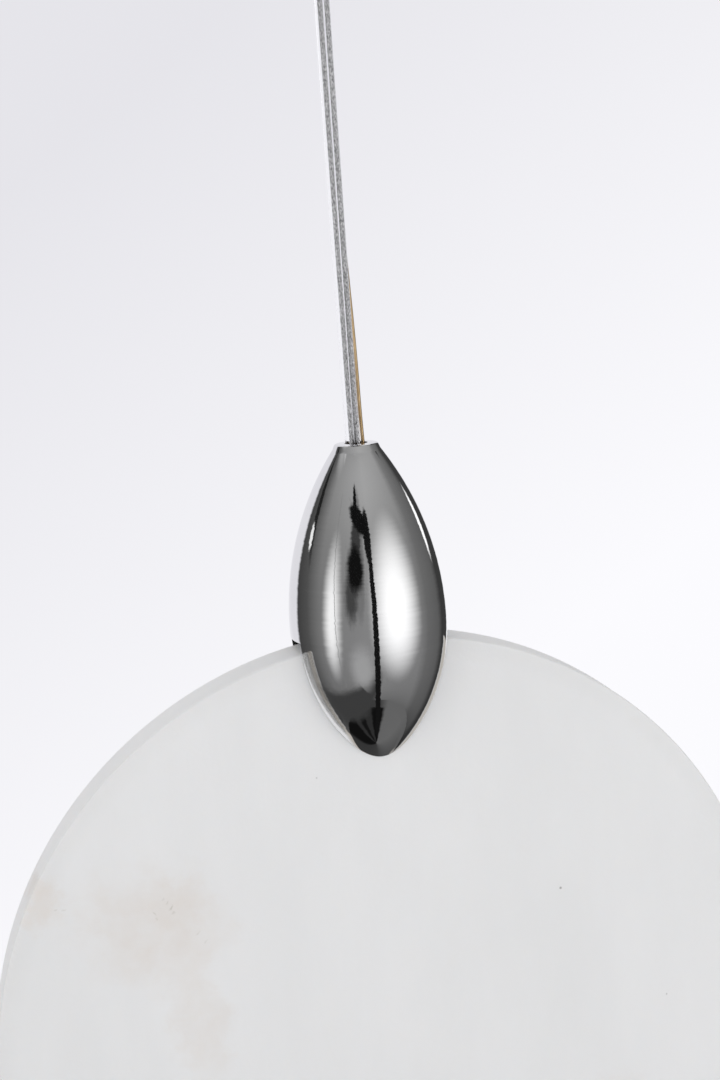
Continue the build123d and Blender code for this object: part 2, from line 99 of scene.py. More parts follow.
def object_noise(material, scale, detail=4.0, stretch=(1, 1, 1), roughness=0.55):
    links = material.node_tree.links
    place = add_node(material, "ShaderNodeTexCoord")
    spread = add_node(material, "ShaderNodeMapping", {"Scale": stretch})
    noise = add_node(material, "ShaderNodeTexNoise",
                     {"Scale": scale, "Detail": detail, "Roughness": roughness})
    links.new(place.outputs["Object"], spread.inputs["Vector"])
    links.new(spread.outputs["Vector"], noise.inputs["Vector"])
    return noise


def ramp(material, source, stops):
    blend = add_node(material, "ShaderNodeValToRGB")
    while len(blend.color_ramp.elements) < len(stops):
        blend.color_ramp.elements.new(0.5)
    for element, (place, colour) in zip(blend.color_ramp.elements, stops):
        element.position = place
        element.color = (*colour, 1)
    material.node_tree.links.new(source.outputs[0], blend.inputs[0])
    return blend


def shader_of(material):
    return material.node_tree.nodes["Principled BSDF"]


def add_bump(material, source, depth):
    bump = add_node(material, "ShaderNodeBump", {"Distance": depth})
    material.node_tree.links.new(source.outputs[0], bump.inputs["Height"])
    material.node_tree.links.new(bump.outputs["Normal"], shader_of(material).inputs["Normal"])


def finish(name, dark, light, scale, roughness, metallic=0.0, stretch=(1, 1, 1), ior=1.45, grain=None):
    material = bpy.data.materials.new(name)
    material.use_nodes = True
    shader = shader_of(material)
    shader.inputs["Metallic"].default_value = metallic
    shader.inputs["Roughness"].default_value = roughness
    shader.inputs["IOR"].default_value = ior
    shade = ramp(material, object_noise(material, scale, stretch=stretch), [(0.32, dark), (0.68, light)])
    material.node_tree.links.new(shade.outputs[0], shader.inputs["Base Color"])
    if grain:
        grain_scale, grain_stretch, grain_depth = grain
        add_bump(material, object_noise(material, grain_scale, 2.0, grain_stretch), grain_depth)
    return material


clear_plastic = finish("clear_plastic", (0.965, 0.965, 0.985), (0.99, 0.99, 1.0), 60.0, 0.03,
                       stretch=(1, 1, 0.1), ior=1.46, grain=(300.0, (1, 1, 0.05), 0.000003))
shader_of(clear_plastic).inputs["Transmission Weight"].default_value = 1.0

jacket = laid_cord("cable_jacket", [cable_route], cable_radius, 12)
jacket.data.materials.append(clear_plastic)
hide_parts("power_cable")
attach(jacket, "hanging_cord")


# Conductors: two bundles of tinned copper strands, laid beside each other in the jacket.
# The strands of each bundle wind round it, and the pair turns slowly in the cable.
core_radius = 0.00053
core_spread = 0.00070
core_shift = 0.00030
strand_count = 13
strand_radius = 0.000100
strand_lay = 0.0110
pair_turn_low = math.radians(34)
pair_turn_high = math.radians(-12)


def read_route(name, route):
    guide = laid_cord(name, [route], 0, 0)
    guide.data.splines[0].resolution_u = 120
    mesh = bpy.data.meshes.new_from_object(guide)
    points = [vertex.co.copy() for vertex in mesh.vertices]
    bpy.data.meshes.remove(mesh)
    bpy.data.objects.remove(guide)
    return points


tinned_copper = finish("tinned_copper", (0.14, 0.14, 0.14), (0.78, 0.78, 0.77), 4200.0, 0.28, metallic=1.0,
                       stretch=(1, 1, 0.3))

route_points = read_route("cable_line", cable_route)
strands = bpy.data.curves.new("strands", "CURVE")
strands.dimensions = "3D"
strands.bevel_depth = strand_radius
strands.bevel_resolution = 1
for side in (-1, 1):
    for strand in range(strand_count):
        line = strands.splines.new("POLY")
        line.points.add(len(route_points) - 1)
        reach = core_radius - strand_radius
        for point, place in zip(line.points, route_points):
            share = (place.z - route_points[-1].z) / (route_points[0].z - route_points[-1].z)
            pair_turn = pair_turn_low + share * (pair_turn_high - pair_turn_low)
            strand_turn = 2 * math.pi * (strand / strand_count + side * place.z / strand_lay)
            x = place.x + core_shift + side * core_spread * math.cos(pair_turn)
            y = place.y + side * core_spread * math.sin(pair_turn)
            point.co = (x + reach * math.cos(strand_turn), y + reach * math.sin(strand_turn), place.z, 1)
cores = bpy.data.objects.new("conductors", strands)
bpy.context.collection.objects.link(cores)
bpy.ops.object.select_all(action="DESELECT")
cores.select_set(True)
bpy.context.view_layer.objects.active = cores
bpy.ops.object.convert(target="MESH")
cores = bpy.context.object
cores.data.materials.clear()
cores.data.materials.append(tinned_copper)
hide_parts("cable_cores")
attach(cores, "hanging_cord")


# Suspension wire: gold-coloured steel rope of fine wires, which carries the weight of body and plate.
# It hangs from its ferrule on the ball, runs behind the cable at first and ends in the anchor.
wire_radius = 0.00055
wire_route = [(0.001019, 0.002844, -0.0420), (0.001050, 0.002750, -0.0500), (-0.000430, 0.002750, -0.0750),
              (-0.000300, 0.002700, -0.1150), (0.000500, 0.002500, -0.1380), (0.001200, 0.001950, -0.1600),
              (0.001780, 0.000800, -0.1820), (0.002000, 0.000120, -0.2122), (0.002846, -0.000201, -0.2242)]

gold_wire = finish("gold_wire", (0.50, 0.34, 0.17), (0.74, 0.54, 0.31), 900.0, 0.30, metallic=1.0,
                   stretch=(1, 1, 0.3))
place = add_node(gold_wire, "ShaderNodeTexCoord")
lay = add_node(gold_wire, "ShaderNodeTexWave", {"Scale": 1500.0, "Distortion": 0.4},
               bands_direction="DIAGONAL")
gold_wire.node_tree.links.new(place.outputs["Object"], lay.inputs["Vector"])
add_bump(gold_wire, lay, 0.000012)

wire = laid_cord("steel_wire", [wire_route], wire_radius, 6)
wire.data.materials.append(gold_wire)
# Where the wire lies behind the cable, the clear jacket doesn't show it.
wire.visible_transmission = False
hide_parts("suspension_wire")
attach(wire, "hanging_cord")


# Slotted body: one piece of brass, turned to an olive shape, slotted from below, polished and chromed.
# It is turned here from its outline, with the cord's chamber, then the slot and the screw holes are cut.
body_top = -0.2122
slot_ceiling = -0.2693
belly_radius = 0.0243
belly_depth = 0.054
body_height = 0.102
flat_radius = 0.0069
edge_radius = 0.0009
crown_rise = 0.0011
slot_half = 0.0074
top_wall = 0.0012
cord_hole_radius = 0.0035
chamber_radius = 0.0062
chamber_depth = 0.022
lead_bore_radius = 0.004
light_half_length = 0.017
light_half_width = 0.006
light_recess = 0.006
clamp_spacing = 0.019
clamp_height = -0.2853
clamp_hole_radius = 0.00205
clamp_bite = 0.0065
clamp_head_radius = 0.0035
clamp_head_hole = 0.0037
clamp_head_depth = 0.0032
far_side = 0.03
overlap = 0.001


def arc_radius(gain, height):
    return (gain ** 2 + height ** 2) / (2 * gain)


upper_arc = arc_radius(belly_radius - flat_radius, belly_depth)
lower_arc = arc_radius(belly_radius, body_height - belly_depth)


def outline_radius(depth):
    arc = upper_arc if depth < belly_depth else lower_arc
    return belly_radius - arc + math.sqrt(arc ** 2 - (depth - belly_depth) ** 2)


def rounded(middle_x, middle_z, radius, start, end, count):
    points = []
    for step in range(count + 1):
        turn = math.radians(start + (end - start) * step / count)
        points.append((middle_x + radius * math.cos(turn), middle_z + radius * math.sin(turn)))
    return points


def choose(piece):
    bpy.ops.object.select_all(action="DESELECT")
    piece.select_set(True)
    bpy.context.view_layer.objects.active = piece


def turned(name, outline, steps):
    bpy.ops.object.select_all(action="DESELECT")
    bpy.ops.mesh.primitive_plane_add(size=0.002)
    piece = bpy.context.object
    piece.name = name
    piece.data.name = name
    bpy.ops.object.mode_set(mode="EDIT")
    bpy.ops.mesh.select_mode(type="VERT")
    bpy.ops.mesh.select_all(action="SELECT")
    bpy.ops.mesh.merge(type="CENTER")
    bpy.ops.transform.translate(value=(outline[0][0], 0, outline[0][1]))
    for before, after in zip(outline, outline[1:]):
        bpy.ops.mesh.extrude_region_move(
            TRANSFORM_OT_translate={"value": (after[0] - before[0], 0, after[1] - before[1])})
    bpy.ops.mesh.select_all(action="SELECT")
    bpy.ops.mesh.spin(steps=steps, angle=2 * math.pi, center=(0, 0, 0), axis=(0, 0, 1))
    bpy.ops.mesh.select_all(action="SELECT")
    bpy.ops.mesh.remove_doubles(threshold=0.000001)
    bpy.ops.mesh.normals_make_consistent(inside=False)
    bpy.ops.object.mode_set(mode="OBJECT")
    return piece


def cut(piece, cutter):
    choose(piece)
    cutting = piece.modifiers.new("cut", "BOOLEAN")
    cutting.operation = "DIFFERENCE"
    cutting.solver = "EXACT"
    cutting.object = cutter
    bpy.ops.object.modifier_apply(modifier="cut")
    bpy.data.objects.remove(cutter)


def drill(piece, radius, start, end, sides=48):
    start = Vector(start)
    axis = Vector(end) - start
    bpy.ops.object.select_all(action="DESELECT")
    bpy.ops.mesh.primitive_cylinder_add(vertices=sides, radius=radius, depth=axis.length,
                                        location=start + axis / 2,
                                        rotation=axis.to_track_quat("Z", "Y").to_euler())
    cut(piece, bpy.context.object)


def mill(piece, low, high):
    low = Vector(low)
    high = Vector(high)
    bpy.ops.object.select_all(action="DESELECT")
    bpy.ops.mesh.primitive_cube_add(size=1, location=(low + high) / 2, scale=high - low)
    cut(piece, bpy.context.object)


def smooth(piece):
    choose(piece)
    bpy.ops.object.shade_smooth_by_angle(angle=math.radians(30))
    even = piece.modifiers.new("even", "WEIGHTED_NORMAL")
    even.keep_sharp = True
    bpy.ops.object.modifier_apply(modifier="even")


def fit(piece, material, node, body):
    piece.data.materials.clear()
    piece.data.materials.append(material)
    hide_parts(node)
    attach(piece, body)


def dress(material, *names):
    for name in names:
        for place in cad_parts[name].material_slots:
            place.material = material


mark_sway = 0.044

polished_chrome = finish("polished_chrome", (0.84, 0.84, 0.85), (0.90, 0.90, 0.90), 35.0, 0.045, metallic=1.0,
                         grain=(900.0, (0.03, 0.03, 1), 0.0000045))
# The turning marks run round the body, so they also turn the surface a little to either side.
links = polished_chrome.node_tree.links
facing = add_node(polished_chrome, "ShaderNodeNewGeometry")
around = add_node(polished_chrome, "ShaderNodeVectorMath", {1: (0, 0, 1)}, operation="CROSS_PRODUCT")
marks = object_noise(polished_chrome, 1300.0, 3.0, (0.02, 0.02, 1))
sway = add_node(polished_chrome, "ShaderNodeMath", {1: mark_sway, 2: -mark_sway / 2},
                operation="MULTIPLY_ADD")
swayed = add_node(polished_chrome, "ShaderNodeVectorMath", operation="SCALE")
turned_face = add_node(polished_chrome, "ShaderNodeVectorMath", operation="ADD")
even_face = add_node(polished_chrome, "ShaderNodeVectorMath", operation="NORMALIZE")
links.new(facing.outputs["Normal"], around.inputs[0])
links.new(marks.outputs[0], sway.inputs[0])
links.new(around.outputs[0], swayed.inputs[0])
links.new(sway.outputs[0], swayed.inputs["Scale"])
links.new(facing.outputs["Normal"], turned_face.inputs[0])
links.new(swayed.outputs[0], turned_face.inputs[1])
links.new(turned_face.outputs[0], even_face.inputs[0])
grain_bump = shader_of(polished_chrome).inputs["Normal"].links[0].from_node
links.new(even_face.outputs[0], grain_bump.inputs["Normal"])

start_depth = edge_radius - crown_rise
upper_steps = 72
lower_steps = 84
upper_step = (belly_depth - start_depth) / upper_steps
lower_step = (body_height - belly_depth) / lower_steps
depths = [start_depth + step * upper_step for step in range(1, upper_steps + 1)]
depths += [belly_depth + step * lower_step for step in range(1, lower_steps)]
bore_low = slot_ceiling - overlap
chamber_low = body_top - chamber_depth
chamber_top = body_top - top_wall
outline = [(0, bore_low), (lead_bore_radius, bore_low), (lead_bore_radius, chamber_low),
           (chamber_radius, chamber_low), (chamber_radius, chamber_top), (cord_hole_radius, chamber_top),
           (cord_hole_radius, body_top + crown_rise)]
lean = math.asin((belly_depth - start_depth) / upper_arc)
corner_x = outline_radius(start_depth) - edge_radius * math.cos(lean)
outline += rounded(corner_x, body_top - start_depth, edge_radius, 90, math.degrees(lean), 5)
outline += [(outline_radius(depth), body_top - depth) for depth in depths]
outline += [(0, body_top - body_height)]
slotted_body = turned("olive_body", outline, 288)
mill(slotted_body, (-far_side, -slot_half, body_top - body_height - overlap),
     (far_side, slot_half, slot_ceiling))
mill(slotted_body, (-light_half_length, -light_half_width, slot_ceiling - overlap),
     (light_half_length, light_half_width, slot_ceiling + light_recess))
head_reach = clamp_spacing / 2 + clamp_head_radius
widest = outline_radius(body_top - clamp_height + clamp_head_radius)
clamp_seat = math.sqrt(widest ** 2 - head_reach ** 2) - clamp_head_depth
for side in (-1, 1):
    x = side * clamp_spacing / 2
    drill(slotted_body, clamp_hole_radius, (x, -slot_half - clamp_bite, clamp_height),
          (x, far_side, clamp_height))
    drill(slotted_body, clamp_head_hole, (x, clamp_seat, clamp_height), (x, far_side, clamp_height))
smooth(slotted_body)
fit(slotted_body, polished_chrome, "fitting_body", "lamp_body")


# Stone plate: alabaster, sawn and ground to a round plate, with its edges broken and a soft matt face.
# It stands in the body's slot, and two screws in nylon sleeves go through it. The clouding goes right
# through the stone: faint beige clouds, a few fine veins and a dark speck.
disc_radius = 0.125
disc_thickness = 0.014
disc_edge = 0.0008
disc_middle = -0.3958
sleeve_hole_radius = 0.0032
painted_shade_band = 0.005
painted_shade_past = 0.002
painted_shade_raggedness = 0.004
clouds = [((-0.0740, -0.3520), (0.0310, 0.0270), 10, 0.80), ((-0.0640, -0.3830), (0.0115, 0.0290), -4, 0.60),
          ((-0.1050, -0.3390), (0.0095, 0.0110), 0, 1.0), ((-0.0660, -0.3460), (0.0150, 0.0120), 0, 0.65),
          ((0.0620, -0.4420), (0.0300, 0.0130), -25, 0.6), ((-0.0250, -0.4780), (0.0190, 0.0110), 15, 0.5),
          ((0.0260, -0.4960), (0.0080, 0.0100), 0, 0.4)]
veins = [((-0.0710, -0.3435), (0.0010, 0.0005), -50, 0.4), ((-0.0698, -0.3450), (0.0011, 0.0005), -62, 0.5),
         ((-0.0688, -0.3466), (0.0012, 0.0007), -72, 0.8), ((-0.0681, -0.3484), (0.0010, 0.0006), -40, 0.6),
         ((-0.0741, -0.3480), (0.0009, 0.0005), 62, 0.4), ((-0.0733, -0.3495), (0.0011, 0.0005), 78, 0.35),
         ((-0.0615, -0.3560), (0.0013, 0.0005), -40, 0.35), ((-0.0592, -0.3590), (0.0011, 0.0005), -60, 0.3),
         ((-0.1036, -0.3420), (0.0010, 0.0005), 20, 0.5), ((-0.1008, -0.3425), (0.0009, 0.0004), -15, 0.4),
         ((0.0480, -0.4395), (0.0030, 0.0006), -30, 0.3)]
specks = [((0.0554, -0.3591), (0.0006, 0.0006), 0, 1.0), ((-0.0210, -0.3120), (0.0004, 0.0004), 0, 0.5),
          ((0.0900, -0.4010), (0.0004, 0.0005), 0, 0.5)]

bpy.ops.object.select_all(action="DESELECT")
bpy.ops.mesh.primitive_cylinder_add(vertices=360, radius=disc_radius, depth=disc_thickness,
                                    location=(0, 0, disc_middle), rotation=(math.pi / 2, 0, 0))
plate = bpy.context.object
plate.name = "stone_plate"
plate.data.name = "stone_plate"
bpy.ops.object.transform_apply(location=True, rotation=True, scale=True)
bpy.ops.object.mode_set(mode="EDIT")
bpy.ops.mesh.select_all(action="DESELECT")
bpy.ops.object.mode_set(mode="OBJECT")
for edge in plate.data.edges:
    first, second = (plate.data.vertices[index].co for index in edge.vertices)
    edge.select = abs(first.y - second.y) < disc_thickness / 2
bpy.ops.object.mode_set(mode="EDIT")
bpy.ops.mesh.select_mode(type="EDGE")
bpy.ops.mesh.bevel(offset=disc_edge, segments=4, affect="EDGES")
bpy.ops.object.mode_set(mode="OBJECT")
for side in (-1, 1):
    x = side * clamp_spacing / 2
    drill(plate, sleeve_hole_radius, (x, -disc_thickness, clamp_height), (x, disc_thickness, clamp_height))
smooth(plate)

alabaster = finish("alabaster", (0.862, 0.863, 0.861), (0.894, 0.894, 0.894), 11.0, 0.5, ior=1.52,
                   stretch=(1, 1, 0.5), grain=(900.0, (1, 1, 1), 0.00005))
shader = shader_of(alabaster)
links = alabaster.node_tree.links
place = add_node(alabaster, "ShaderNodeTexCoord")
mottle = object_noise(alabaster, 160.0, 5.0)


def multiply(first, second):
    product = add_node(alabaster, "ShaderNodeMix", {0: 1.0}, data_type="RGBA", blend_type="MULTIPLY")
    links.new(first, product.inputs[6])
    links.new(second, product.inputs[7])
    return product.outputs[2]


def add_marks(marks, colour, ragged, scale, source):
    wander = object_noise(alabaster, scale, 6.0, roughness=0.62)
    drift = add_node(alabaster, "ShaderNodeVectorMath", {1: (-0.5, -0.5, -0.5)}, operation="ADD")
    links.new(wander.outputs["Color"], drift.inputs[0])
    shift = add_node(alabaster, "ShaderNodeVectorMath", {1: (ragged, 0, ragged)}, operation="MULTIPLY")
    links.new(drift.outputs[0], shift.inputs[0])
    moved = add_node(alabaster, "ShaderNodeVectorMath", operation="ADD")
    links.new(place.outputs["Object"], moved.inputs[0])
    links.new(shift.outputs[0], moved.inputs[1])
    for middle, reach, lean, strength in marks:
        centred = add_node(alabaster, "ShaderNodeMapping",
                           {"Location": (middle[0], 0, middle[1]), "Rotation": (0, math.radians(lean), 0),
                            "Scale": (reach[0], 1, reach[1])}, vector_type="TEXTURE")
        links.new(moved.outputs[0], centred.inputs["Vector"])
        mark = add_node(alabaster, "ShaderNodeTexGradient", gradient_type="SPHERICAL")
        links.new(centred.outputs[0], mark.inputs["Vector"])
        soft = add_node(alabaster, "ShaderNodeMapRange", {"From Max": 0.75, "To Max": strength},
                        interpolation_type="SMOOTHSTEP")
        links.new(mark.outputs["Fac"], soft.inputs["Value"])
        broken = add_node(alabaster, "ShaderNodeMapRange",
                          {"From Min": 0.25, "From Max": 0.7, "To Min": 0.45})
        links.new(mottle.outputs[0], broken.inputs["Value"])
        amount = add_node(alabaster, "ShaderNodeMath", operation="MULTIPLY")
        links.new(soft.outputs[0], amount.inputs[0])
        links.new(broken.outputs[0], amount.inputs[1])
        blend = add_node(alabaster, "ShaderNodeMix", data_type="RGBA")
        blend.inputs[7].default_value = (*colour, 1)
        links.new(amount.outputs[0], blend.inputs[0])
        links.new(source, blend.inputs[6])
        source = blend.outputs[2]
    return source


stone_colour = shader.inputs["Base Color"].links[0].from_socket
# Painted light and shade: the sawn rim is painted a little lighter than the ground faces, for the light that
# falls on it, and the ground faces get a painted shade that darkens them towards their broken edge.
from_middle = add_node(alabaster, "ShaderNodeMapping", {"Location": (0, 0, -disc_middle), "Scale": (1, 0, 1)})
links.new(place.outputs["Object"], from_middle.inputs["Vector"])
reach = add_node(alabaster, "ShaderNodeVectorMath", operation="LENGTH")
links.new(from_middle.outputs["Vector"], reach.inputs[0])
unevenly = add_node(alabaster, "ShaderNodeMath", {1: painted_shade_raggedness}, operation="MULTIPLY_ADD")
links.new(mottle.outputs[0], unevenly.inputs[0])
links.new(reach.outputs["Value"], unevenly.inputs[2])
painted_shade_share = add_node(alabaster, "ShaderNodeMapRange",
                   {"From Min": disc_radius - painted_shade_band, "From Max": disc_radius + painted_shade_past})
links.new(unevenly.outputs[0], painted_shade_share.inputs["Value"])
# Painted shade: the faces darken towards their edge.
painted_edge_shade = ramp(alabaster, painted_shade_share, [(0.0, (0.965, 0.965, 0.965)), (1.0, (0.925, 0.925, 0.922))])
thickness = add_node(alabaster, "ShaderNodeSeparateXYZ")
links.new(place.outputs["Normal"], thickness.inputs[0])
across_rim = add_node(alabaster, "ShaderNodeMath", operation="ABSOLUTE")
links.new(thickness.outputs["Y"], across_rim.inputs[0])
painted_rim_light_mask = add_node(alabaster, "ShaderNodeMapRange",
                    {"From Min": 0.05, "From Max": 0.60, "To Min": 1.0, "To Max": 0.0})
links.new(across_rim.outputs[0], painted_rim_light_mask.inputs["Value"])
# Painted light on the rim, mixed over the painted edge shade of the faces.
painted_rim_light_and_edge_shade = add_node(alabaster, "ShaderNodeMix", {7: (1.0, 1.0, 0.995, 1)}, data_type="RGBA")
links.new(painted_rim_light_mask.outputs[0], painted_rim_light_and_edge_shade.inputs[0])
links.new(painted_edge_shade.outputs[0], painted_rim_light_and_edge_shade.inputs[6])
streaks = ramp(alabaster, object_noise(alabaster, 60.0, 5.0, (1, 1, 0.3)),
               [(0.35, (0.980, 0.981, 0.981)), (0.65, (1.0, 1.0, 1.0))])
stone_colour = multiply(multiply(stone_colour, painted_rim_light_and_edge_shade.outputs[2]), streaks.outputs[0])
stone_colour = add_marks(clouds, (0.790, 0.752, 0.715), 0.030, 75.0, stone_colour)
stone_colour = add_marks(veins, (0.56, 0.54, 0.48), 0.0030, 420.0, stone_colour)
stone_colour = add_marks(specks, (0.16, 0.15, 0.14), 0.0004, 75.0, stone_colour)
links.new(stone_colour, shader.inputs["Base Color"])
shader.inputs["Subsurface Weight"].default_value = 0.25
shader.inputs["Subsurface Radius"].default_value = (1.0, 0.9, 0.8)
shader.inputs["Subsurface Scale"].default_value = 0.004
# The metal mirrors painted strips of the studio in the plate's place.
plate.visible_glossy = False
fit(plate, alabaster, "stone_disc", "lamp_body")


# Fastening of the plate: soft pads between stone and slot, two zinc-plated screws from the back and
# a nylon sleeve round each, so that no metal touches the stone.
clear_silicone = finish("clear_silicone", (0.78, 0.78, 0.77), (0.86, 0.86, 0.85), 220.0, 0.55, ior=1.41,
                        grain=(2500.0, (1, 1, 1), 0.00002))
shader_of(clear_silicone).inputs["Transmission Weight"].default_value = 0.35
white_nylon = finish("white_nylon", (0.80, 0.80, 0.78), (0.86, 0.86, 0.845), 90.0, 0.42, ior=1.53,
                     grain=(3200.0, (1, 1, 1), 0.00001))
shader_of(white_nylon).inputs["Subsurface Weight"].default_value = 0.1
shader_of(white_nylon).inputs["Subsurface Scale"].default_value = 0.001
zinc_steel = finish("zinc_plated_steel", (0.54, 0.55, 0.57), (0.72, 0.72, 0.71), 240.0, 0.34, metallic=1.0,
                    grain=(1800.0, (1, 0.15, 1), 0.000008))
dress(clear_silicone, "slot_pads", "anchor_washer")
dress(white_nylon, "screw_sleeves")
dress(zinc_steel, "clamp_screws")


# Light source: a white-coated aluminium board with yellow phosphor chips, screwed into the slot's ceiling
# behind an opal cover. It shines down into the stone's edge, and its two leads go up to the cable.
lead_radius = 0.0006
lead_half_gap = 0.001

board_coat = finish("white_coated_board", (0.82, 0.82, 0.81), (0.88, 0.88, 0.87), 300.0, 0.4,
                    grain=(4000.0, (1, 1, 1), 0.000006))
phosphor = finish("phosphor", (0.84, 0.66, 0.16), (0.92, 0.78, 0.30), 900.0, 0.3,
                  grain=(6000.0, (1, 1, 1), 0.00001))
opal_acrylic = finish("opal_acrylic", (0.87, 0.87, 0.87), (0.92, 0.92, 0.92), 120.0, 0.3, ior=1.49,
                      grain=(2500.0, (1, 1, 1), 0.00001))
shader_of(opal_acrylic).inputs["Transmission Weight"].default_value = 0.5
lead_insulation = finish("lead_insulation", (0.74, 0.74, 0.72), (0.84, 0.84, 0.82), 400.0, 0.32,
                         grain=(1500.0, (1, 1, 0.2), 0.00001))
dress(board_coat, "led_board")
dress(phosphor, "led_chips")
dress(zinc_steel, "led_screws")
dress(opal_acrylic, "led_diffuser")
lead_routes = [[(x, 0, -0.2633), (x * 0.9, 0.0003, -0.2520), (x, -0.0003, -0.2400), (x, 0, -0.2282)]
               for x in (-lead_half_gap, lead_half_gap)]
board_leads = laid_cord("board_leads", lead_routes, lead_radius, 4)
fit(board_leads, lead_insulation, "led_leads", "lamp_body")


# Anchor: a turned brass barrel, crimped on the wire and the cable inside the body. It bears against
# the body's top wall through a soft ring.
turned_brass = finish("turned_brass", (0.62, 0.46, 0.22), (0.80, 0.63, 0.34), 180.0, 0.26, metallic=1.0,
                      grain=(2600.0, (0.05, 0.05, 1), 0.000006))
dress(turned_brass, "cord_anchor")


# Ceiling canopy: a round dish, spun from sheet metal and chromed. It hides the bracket, the driver and
# the terminals, and two thumb screws through its side hold it to the bracket.
canopy_radius = 0.060
canopy_wall = 0.0015
canopy_depth = 0.034
canopy_floor = -0.0325
canopy_round = 0.008
stem_hole_radius = 0.00505
side_screw_height = -0.009
side_screw_hole = 0.0022
drill_reach = 0.07

chromed_sheet = finish("chromed_sheet", (0.80, 0.80, 0.81), (0.88, 0.88, 0.88), 22.0, 0.07, metallic=1.0,
                       grain=(700.0, (0.04, 0.04, 1), 0.000004))
knee_x = canopy_radius - canopy_round
knee_z = -canopy_depth + canopy_round
outline = [(canopy_radius - canopy_wall, 0), (canopy_radius, 0)]
outline += rounded(knee_x, knee_z, canopy_round, 0, -90, 16)
outline += [(stem_hole_radius, -canopy_depth), (stem_hole_radius, canopy_floor)]
outline += rounded(knee_x, knee_z, canopy_round - canopy_wall, -90, 0, 16)
outline += [(canopy_radius - canopy_wall, 0)]
dish = turned("canopy_dish", outline, 192)
drill(dish, side_screw_hole, (-drill_reach, 0, side_screw_height), (drill_reach, 0, side_screw_height))
smooth(dish)
fit(dish, chromed_sheet, "canopy", "ceiling_fitting")
dress(chromed_sheet, "canopy_screws")
dress(zinc_steel, "canopy_stiffener", "mounting_bracket")


# Swivel: a chromed cup under the canopy, with a nylon ring that turns in it and a ball in the ring.
# The cable and the wire go up through the ball, and the wire's brass ferrule bears on the ball's flat.
cup_radius = 0.0127
cup_bore = 0.0102
cup_floor = -0.0582
cup_low = -0.0602
cup_round = 0.003
cup_mouth_radius = 0.006417
ball_radius = 0.008
ball_centre = -0.0525
ball_flat = -0.047
seat_radius = 0.010
seat_low = -0.058
seat_high = -0.052
seat_sphere = 0.0082
ball_bore = 0.004054

outline = [(cup_bore, -canopy_depth), (cup_radius, -canopy_depth)]
outline += rounded(cup_radius - cup_round, cup_low + cup_round, cup_round, 0, -90, 10)
outline += [(cup_mouth_radius, cup_low), (cup_mouth_radius, cup_floor), (cup_bore, cup_floor),
            (cup_bore, -canopy_depth)]
cup = turned("swivel_cup_shell", outline, 96)
smooth(cup)
fit(cup, chromed_sheet, "swivel_cup", "ceiling_fitting")

seat_start = math.degrees(math.asin((seat_low - ball_centre) / seat_sphere))
seat_end = math.degrees(math.asin((seat_high - ball_centre) / seat_sphere))
outline = [(seat_radius, seat_high), (seat_radius, seat_low)]
outline += rounded(0, ball_centre, seat_sphere, seat_start, seat_end, 14)
outline += [(seat_radius, seat_high)]
seat = turned("seat_bearing", outline, 96)
smooth(seat)
fit(seat, white_nylon, "seat_ring", "swivel_seat")

flat_start = math.degrees(math.asin((ball_flat - ball_centre) / ball_radius))
bore_end = -math.degrees(math.acos(ball_bore / ball_radius))
outline = [(ball_bore, ball_flat)]
outline += rounded(0, ball_centre, ball_radius, flat_start, bore_end, 28)
outline += [(ball_bore, ball_flat)]
ball = turned("chromed_ball", outline, 96)
smooth(ball)
fit(ball, chromed_sheet, "swivel_ball", "hanging_cord")
dress(turned_brass, "swivel_stem", "stem_nut", "wire_ferrule")
dress(zinc_steel, "stem_washer")


# Strain relief: a nylon collar on top of the stem, with a screw that pinches the cable's jacket.
# Above it the jacket ends, and two insulated leads bend over to the driver.
supply_lead_radius = 0.0008
supply_half_gap = 0.00095

dress(white_nylon, "strain_relief")
dress(zinc_steel, "relief_screw")
jacket_end = laid_cord("jacket_end", [[(0, 0, -0.0380), (0, 0, -0.0250), (0, 0, -0.0135)]], cable_radius, 8)
fit(jacket_end, clear_plastic, "inner_cable", "ceiling_fitting")
lead_routes = [[(x, 0, -0.0135), (x, 0, -0.0078), (x * 1.4, 0.0060, -0.0076), (x * 0.8, 0.0190, -0.0080),
                (x, 0.0258, -0.0078), (x, 0.0260, -0.0155)] for x in (-supply_half_gap, supply_half_gap)]
supply_leads = laid_cord("supply_leads", lead_routes, supply_lead_radius, 5)
fit(supply_leads, lead_insulation, "output_leads", "ceiling_fitting")


# Driver: the supply that feeds the light source, in a moulded case taped to the canopy's floor.
# A screwed lid closes it over a circuit board with its parts.
driver_moulding = finish("driver_moulding", (0.77, 0.77, 0.75), (0.83, 0.83, 0.81), 140.0, 0.5, ior=1.53,
                         grain=(2200.0, (1, 1, 1), 0.00003))
foam_tape = finish("foam_tape", (0.05, 0.05, 0.05), (0.16, 0.16, 0.16), 1600.0, 0.9,
                   grain=(1600.0, (1, 1, 1), 0.0002))
glass_board = finish("glass_fibre_board", (0.04, 0.20, 0.09), (0.09, 0.32, 0.16), 500.0, 0.35,
                     grain=(3000.0, (1, 1, 1), 0.00001))
components = finish("moulded_components", (0.07, 0.07, 0.07), (0.20, 0.20, 0.19), 130.0, 0.4,
                    grain=(2600.0, (1, 1, 1), 0.00002))
dress(foam_tape, "foam_pads")
dress(driver_moulding, "driver_case", "driver_lid")
dress(zinc_steel, "driver_screws")
dress(glass_board, "driver_board")
dress(components, "driver_parts")


# Terminals: a moulded block with brass screws, which takes the house wires. Two leads run from it to
# the driver, and a green and yellow lead runs to the earth tag under the bracket's screw.
terminal_pitch = 0.009
terminal_height = -0.0230

